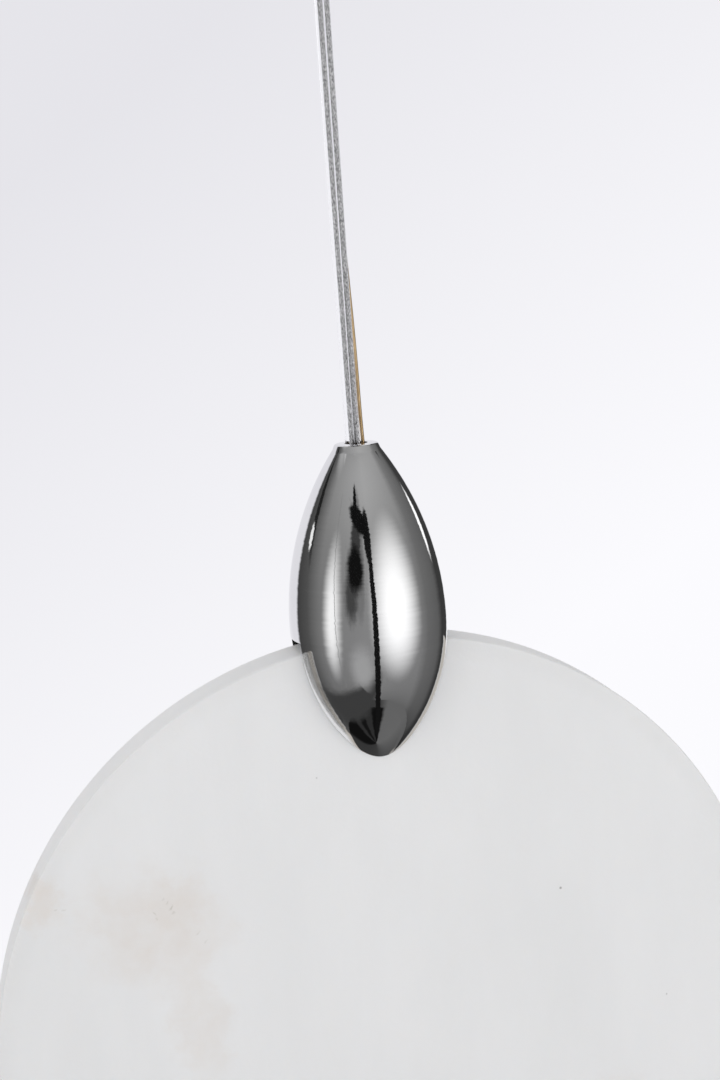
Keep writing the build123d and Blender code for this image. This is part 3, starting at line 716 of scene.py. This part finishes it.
earth_insulation = finish("earth_insulation", (0.10, 0.34, 0.06), (0.78, 0.70, 0.04), 260.0, 0.32,
                          grain=(1500.0, (1, 1, 1), 0.00001))
dress(white_nylon, "terminal_block")
dress(turned_brass, "terminal_screws", "earth_screw")
dress(zinc_steel, "earth_tag")
lead_routes = [[(x, -0.0260, terminal_height), (x, -0.0120, terminal_height), (x * 0.96, 0.0020, -0.0233),
                (x, 0.0120, terminal_height), (x, 0.0215, terminal_height)]
               for x in (-terminal_pitch, terminal_pitch)]
house_leads = laid_cord("house_leads", lead_routes, supply_lead_radius, 5)
fit(house_leads, lead_insulation, "input_leads", "ceiling_fitting")
earth_route = [(0, -0.0260, terminal_height), (0, -0.0150, terminal_height), (0.0020, -0.0145, -0.0215),
               (0.0160, -0.0145, -0.0050), (0.0180, -0.0140, -0.0036), (0.0180, -0.0045, -0.0036)]
ground_lead = laid_cord("ground_lead", [earth_route], supply_lead_radius, 5)
fit(ground_lead, earth_insulation, "earth_lead", "ceiling_fitting")


# Backdrop and light: a pale sweep round everything, a soft lamp from each side and a dark room behind
# the camera, which only the polished metal shows.
floor_radius = 1.4
floor_height = -1.5
lit_middle = Vector((0, 0, -0.27))
room_radius = 2.2
room_low = -3.0
room_high = 4.0
painted_reflection_radius = 2.05
left_painted_reflection_top = -0.72
right_painted_reflection_top = -0.58
streak_lift = 0.05
streak_reach = 1.75
lamp_distance = 2.0
lamp_size = 1.6
lamp_rise = 15
sweep_across = 1.67
sweep_upward = -2.05
sweep_middle = 0.70
light_turn = -view_bearing - math.pi / 2

bpy.ops.object.select_all(action="DESELECT")
bpy.ops.mesh.primitive_circle_add(vertices=96, radius=floor_radius, fill_type="NGON",
                                  location=(0, 0, floor_height))
floor = bpy.context.object
floor.name = "floor"
pale_floor = finish("pale_floor", (0.86, 0.86, 0.87), (0.90, 0.90, 0.91), 3.0, 0.8)
floor.data.materials.append(pale_floor)
floor.visible_glossy = False

world = bpy.data.worlds.new("studio")
bpy.context.scene.world = world
world.use_nodes = True
links = world.node_tree.links
place = add_node(world, "ShaderNodeTexCoord")
across = add_node(world, "ShaderNodeVectorMath", {1: right}, operation="DOT_PRODUCT")
links.new(place.outputs["Generated"], across.inputs[0])
upward = add_node(world, "ShaderNodeVectorMath", {1: up}, operation="DOT_PRODUCT")
links.new(place.outputs["Generated"], upward.inputs[0])
slope = add_node(world, "ShaderNodeMath", {1: sweep_across, 2: sweep_middle}, operation="MULTIPLY_ADD")
links.new(across.outputs["Value"], slope.inputs[0])
fall = add_node(world, "ShaderNodeMath", {1: sweep_upward}, operation="MULTIPLY_ADD")
links.new(upward.outputs["Value"], fall.inputs[0])
links.new(slope.outputs[0], fall.inputs[2])
sweep = add_node(world, "ShaderNodeValToRGB")
sweep.color_ramp.elements[0].color = (0.790, 0.785, 0.825, 1)
sweep.color_ramp.elements[1].color = (0.968, 0.965, 0.995, 1)
links.new(fall.outputs[0], sweep.inputs["Fac"])
# The eye, the polished metal and the clear jacket see the sweep, and everything else a plain grey light.
rays = add_node(world, "ShaderNodeLightPath")
seen = add_node(world, "ShaderNodeMath", operation="MAXIMUM")
links.new(rays.outputs["Is Camera Ray"], seen.inputs[0])
links.new(rays.outputs["Is Glossy Ray"], seen.inputs[1])
seen_or_through = add_node(world, "ShaderNodeMath", operation="MAXIMUM")
links.new(seen.outputs[0], seen_or_through.inputs[0])
links.new(rays.outputs["Is Transmission Ray"], seen_or_through.inputs[1])
light = add_node(world, "ShaderNodeMix", data_type="RGBA")
light.inputs[6].default_value = (0.69, 0.69, 0.70, 1)
links.new(seen_or_through.outputs[0], light.inputs[0])
links.new(sweep.outputs[0], light.inputs[7])
links.new(light.outputs[2], world.node_tree.nodes["Background"].inputs["Color"])


def bearing_to(bearing, rise):
    turn = math.radians(bearing) - view_bearing
    lift = math.radians(rise)
    return Vector((math.sin(turn) * math.cos(lift), -math.cos(turn) * math.cos(lift), math.sin(lift)))


def glowing(piece, name):
    piece.name = name
    material = bpy.data.materials.new(name)
    material.use_nodes = True
    material.node_tree.nodes.clear()
    links = material.node_tree.links
    glow = add_node(material, "ShaderNodeEmission")
    nothing = add_node(material, "ShaderNodeBsdfTransparent")
    mix = add_node(material, "ShaderNodeMixShader", {0: 1.0})
    end = add_node(material, "ShaderNodeOutputMaterial")
    links.new(nothing.outputs[0], mix.inputs[1])
    links.new(glow.outputs[0], mix.inputs[2])
    links.new(mix.outputs[0], end.inputs["Surface"])
    piece.data.materials.append(material)
    piece.visible_camera = False
    piece.visible_diffuse = False
    piece.visible_transmission = False
    piece.visible_volume_scatter = False
    piece.visible_shadow = False
    return material, glow, mix


def card(name, bearing, rise, wide, high, level, distance, soft=0.0, ragged=0.0, lean=0.0):
    away = bearing_to(bearing, rise)
    turn = away.to_track_quat("Z", "Y").to_matrix() @ Matrix.Rotation(math.radians(lean), 3, "Z")
    bpy.ops.object.select_all(action="DESELECT")
    bpy.ops.mesh.primitive_plane_add(size=2, location=lit_middle + away * distance, rotation=turn.to_euler())
    piece = bpy.context.object
    piece.scale = (distance * math.tan(math.radians(wide / 2)),
                   distance * math.tan(math.radians(high / 2)), 1)
    material, glow, mix = glowing(piece, name)
    glow.inputs["Color"].default_value = (level, level, level, 1)
    if soft:
        links = material.node_tree.links
        place = add_node(material, "ShaderNodeTexCoord")
        fade = add_node(material, "ShaderNodeTexGradient", gradient_type="SPHERICAL")
        uneven = object_noise(material, 2.5, 3.0)
        rough = add_node(material, "ShaderNodeMath", {1: ragged}, operation="MULTIPLY_ADD")
        edge = add_node(material, "ShaderNodeMapRange",
                        {"From Min": ragged / 2, "From Max": ragged / 2 + soft},
                        interpolation_type="SMOOTHSTEP")
        links.new(place.outputs["Object"], fade.inputs["Vector"])
        links.new(uneven.outputs[0], rough.inputs[0])
        links.new(fade.outputs["Fac"], rough.inputs[2])
        links.new(rough.outputs[0], edge.inputs["Value"])
        links.new(edge.outputs["Result"], mix.inputs[0])


def grey(level):
    return level, level, level


def by_bearing(material, glow, mix, stops, twist=0.0):
    links = material.node_tree.links
    place = add_node(material, "ShaderNodeTexCoord")
    split = add_node(material, "ShaderNodeSeparateXYZ")
    slant = add_node(material, "ShaderNodeMath", {1: math.radians(twist)}, operation="MULTIPLY")
    twisted = add_node(material, "ShaderNodeVectorRotate", rotation_type="Z_AXIS")
    turn = add_node(material, "ShaderNodeTexGradient", gradient_type="RADIAL")
    links.new(place.outputs["Object"], split.inputs["Vector"])
    links.new(split.outputs["Z"], slant.inputs[0])
    links.new(slant.outputs[0], twisted.inputs["Angle"])
    links.new(place.outputs["Object"], twisted.inputs["Vector"])
    links.new(twisted.outputs[0], turn.inputs["Vector"])
    shade = add_node(material, "ShaderNodeValToRGB")
    while len(shade.color_ramp.elements) < len(stops):
        shade.color_ramp.elements.new(0.5)
    for element, (bearing, colour, cover) in zip(shade.color_ramp.elements, stops):
        element.position = bearing / 360 + 0.5
        element.color = (*colour, cover)
    links.new(turn.outputs["Fac"], shade.inputs["Fac"])
    links.new(shade.outputs["Color"], glow.inputs["Color"])
    links.new(shade.outputs["Alpha"], mix.inputs[0])
    return split


def wall(name, radius, low, high, stops, twist=0.0):
    bpy.ops.object.select_all(action="DESELECT")
    bpy.ops.mesh.primitive_cylinder_add(vertices=120, radius=radius, depth=high - low,
                                        end_fill_type="NOTHING", rotation=(0, 0, light_turn),
                                        location=lit_middle + Vector((0, 0, (low + high) / 2)))
    material, glow, mix = glowing(bpy.context.object, name)
    return material, glow, by_bearing(material, glow, mix, stops, twist)


def lid(name, height, stops, reach=2.3):
    bpy.ops.object.select_all(action="DESELECT")
    bpy.ops.mesh.primitive_circle_add(vertices=96, radius=reach, fill_type="NGON",
                                      location=lit_middle + Vector((0, 0, height)),
                                      rotation=(0, 0, light_turn))
    material, glow, mix = glowing(bpy.context.object, name)
    by_bearing(material, glow, mix, stops)


# The room is dark grey and lighter towards its top. The curve halves its brightness, and the next
# node doubles it, because a curve ends at 1.
material, glow, split = wall("studio_wall", room_radius, room_low, room_high, [
    (-126, grey(0.055), 0.0), (-121, grey(0.055), 1.0), (-98, grey(0.085), 1.0), (-72, grey(0.20), 1.0),
    (-30, grey(0.24), 1.0), (15, grey(0.28), 1.0), (80, grey(0.24), 1.0), (96, grey(0.155), 1.0),
    (122, grey(0.12), 1.0), (135, grey(0.045), 1.0), (158, grey(0.045), 1.0), (163, grey(0.045), 0.0)])
brightness = add_node(material, "ShaderNodeFloatCurve")
curve = brightness.mapping.curves[0]
curve.points[0].location = (0.0, 0.28)
curve.points[1].location = (1.0, 0.65)
for place_up, level in ((0.25, 0.475), (0.46, 0.50), (0.80, 0.725)):
    curve.points.new(place_up, level)
brightness.mapping.update()
share = add_node(material, "ShaderNodeMapRange",
                 {"From Min": (room_low - room_high) / 2, "From Max": (room_high - room_low) / 2})
double = add_node(material, "ShaderNodeMath", {1: 2.0}, operation="MULTIPLY")
links = material.node_tree.links
links.new(split.outputs["Z"], share.inputs["Value"])
links.new(share.outputs["Result"], brightness.inputs["Value"])
links.new(brightness.outputs[0], double.inputs[0])
links.new(double.outputs[0], glow.inputs["Strength"])

# Below the belly the metal mirrors a painted reflection of the lit stone, a beige strip at either side, in
# place of the hidden plate, and the room's floor as dark shapes.
painted_stone_reflection_beige = (0.50, 0.47, 0.43)
wall("painted_stone_reflection_left", painted_reflection_radius, room_low, left_painted_reflection_top, [
    (-180, grey(0.66), 1.0), (-117, grey(0.66), 1.0), (-114, grey(0.38), 1.0), (-111, painted_stone_reflection_beige, 1.0),
    (-103, painted_stone_reflection_beige, 1.0), (-101.5, grey(0.78), 1.0), (-100.5, grey(0.6), 0.0), (60, grey(0.6), 0.0),
    (90, grey(0.6), 0.0)], twist=-5.0)
wall("painted_stone_reflection_right", painted_reflection_radius, room_low, right_painted_reflection_top, [
    (90, grey(0.6), 0.0), (145, grey(0.6), 0.0), (147, grey(0.62), 1.0), (151, painted_stone_reflection_beige, 1.0),
    (160, painted_stone_reflection_beige, 1.0), (180, grey(0.62), 1.0)], twist=3.0)
# The beige sectors of this lid are painted reflection of the lit stone; the rest is the room's dark floor.
lid("dark_floor_and_painted_stone_reflection", room_low, [
    (-180, grey(0.05), 1.0), (-156, grey(0.05), 1.0), (-146, painted_stone_reflection_beige, 1.0), (-114, painted_stone_reflection_beige, 1.0),
    (-110, grey(0.09), 1.0), (-90, grey(0.055), 1.0), (-20, grey(0.045), 1.0), (15, grey(0.05), 1.0),
    (34, grey(0.14), 1.0), (90, grey(0.14), 1.0), (140, grey(0.11), 1.0), (148, painted_stone_reflection_beige, 1.0),
    (160, painted_stone_reflection_beige, 1.0), (170, grey(0.05), 1.0)])
lid("dark_streaks", room_low + streak_lift, [
    (-180, grey(0.05), 1.0), (-112, grey(0.04), 1.0), (-104, grey(0.006), 1.0), (-66, grey(0.006), 1.0),
    (-61, grey(0.03), 1.0), (-52, grey(0.03), 1.0), (-46, grey(0.008), 1.0), (-34, grey(0.008), 1.0),
    (-29, grey(0.03), 1.0), (-12, grey(0.03), 1.0), (-6, grey(0.006), 1.0), (21, grey(0.006), 1.0),
    (30, grey(0.14), 1.0), (90, grey(0.145), 1.0), (150, grey(0.08), 1.0), (178, grey(0.05), 1.0)],
    reach=streak_reach)
lid("grey_ceiling", room_high, [(-170, grey(0.36), 1.0), (0, grey(0.36), 1.0), (170, grey(0.33), 1.0)])

# Lamps, flags and stands, by their bearing from the camera, their rise, and how wide and high they look.
card("wide_lamp", 42, -3, 88, 80, 1.25, 1.6, soft=0.9)
card("narrow_lamp", -53, -5, 36, 72, 1.0, 1.6, soft=0.9, lean=-12)
card("far_lamp", 130, 8, 11, 19, 1.3, 1.6, soft=0.5)
card("low_glow", -14, -32, 44, 40, 0.38, 1.5, soft=0.8)
card("low_shade", -44, -55, 100, 27, 0.050, 1.45, soft=0.5, ragged=0.5)
card("high_glow", -100, 52, 50, 26, 0.40, 1.7, soft=0.6)
card("dark_post", 112, 56, 16, 46, 0.015, 1.5, soft=0.25)
card("pale_high", 156, 60, 40, 24, 0.80, 1.7, soft=0.2)
card("pale_high_left", -112, 62, 60, 14, 0.55, 1.6, soft=0.3)
card("left_flag", -104, 23, 12, 40, 0.015, 1.5, soft=0.5, ragged=0.3, lean=24)
card("middle_flag", -10, 20, 21, 60, 0.19, 1.3, soft=0.3)
card("dark_stand", 10, -23, 7.5, 118, 0.008, 1.2)
card("dark_stand_top", 8, 28, 12, 26, 0.008, 1.19, soft=0.2, ragged=0.2, lean=6)
card("thin_stand", -48, 0, 0.8, 84, 0.22, 1.2)
card("dark_spike", -14, 42, 7, 18, 0.006, 1.16, soft=0.3, ragged=0.3, lean=8)
card("dark_cap", -6, 35, 38, 12, 0.006, 1.15, soft=0.3, ragged=0.35, lean=-18)
card("dark_neck", -13, 26, 20, 24, 0.045, 1.17, soft=0.5, ragged=0.5)
card("dark_box", -15, 15, 32, 26, 0.006, 1.15, soft=0.5, ragged=0.4)
card("dark_foot", -23, 3, 26, 28, 0.060, 1.17, soft=0.7, ragged=0.5, lean=-20)
card("white_panel", -104, 14, 9, 9, 0.9, 1.45, soft=0.4)

for name, bearing, power in (("right_lamp", 45, 8), ("left_lamp", -50, 6)):
    away = bearing_to(bearing, lamp_rise)
    soft_light = bpy.data.lights.new(name, "AREA")
    soft_light.shape = "DISK"
    soft_light.size = lamp_size
    soft_light.energy = power
    lamp = bpy.data.objects.new(name, soft_light)
    bpy.context.collection.objects.link(lamp)
    lamp.location = lit_middle + away * lamp_distance
    lamp.rotation_euler = away.to_track_quat("Z", "Y").to_euler()
    lamp.visible_glossy = False
    lamp.visible_camera = False

bpy.context.scene.view_settings.view_transform = "Standard"
